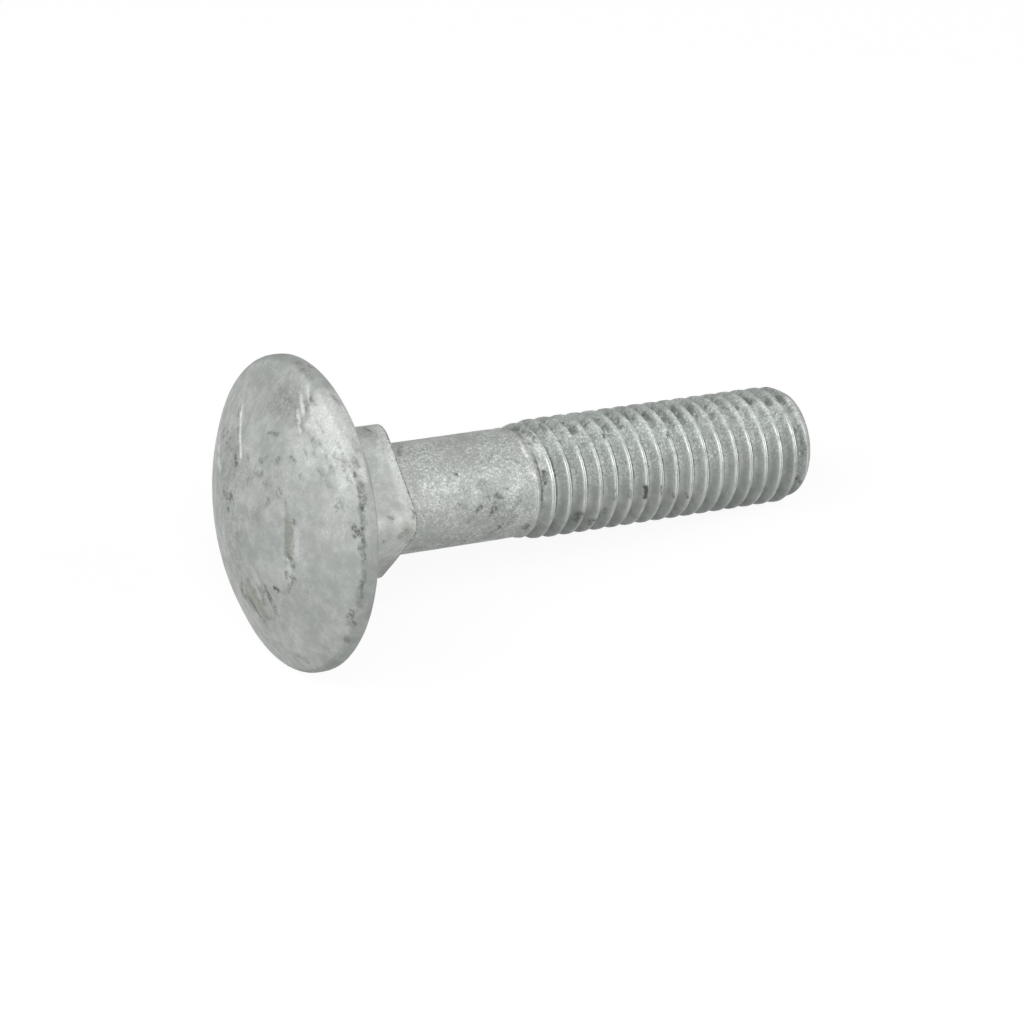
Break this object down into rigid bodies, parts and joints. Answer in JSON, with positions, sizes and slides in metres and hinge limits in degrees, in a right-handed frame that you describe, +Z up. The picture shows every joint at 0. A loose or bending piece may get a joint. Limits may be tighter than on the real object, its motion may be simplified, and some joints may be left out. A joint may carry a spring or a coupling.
{
  "type": "carriage bolt",
  "caption": "Round-headed bolt with a square neck under its head, a plain shank and a coarse thread, for clamping timber and steel with a nut.",
  "frame": {"origin": "centre of the bolt's footprint, on the surface that it lies on", "axes": "+Z up, +X along the bolt in plan, from its head towards its thread end; the bolt's own axis slopes down towards +X by 9.8 degrees"},
  "size_m": [0.061, 0.03, 0.0298],
  "materials": {
    "galvanised_zinc": "hot-dip galvanised steel, dull pale grey zinc"
  },
  "bodies": {
    "root": {"carriage_bolt": "galvanised_zinc"}
  },
  "joints": []
}
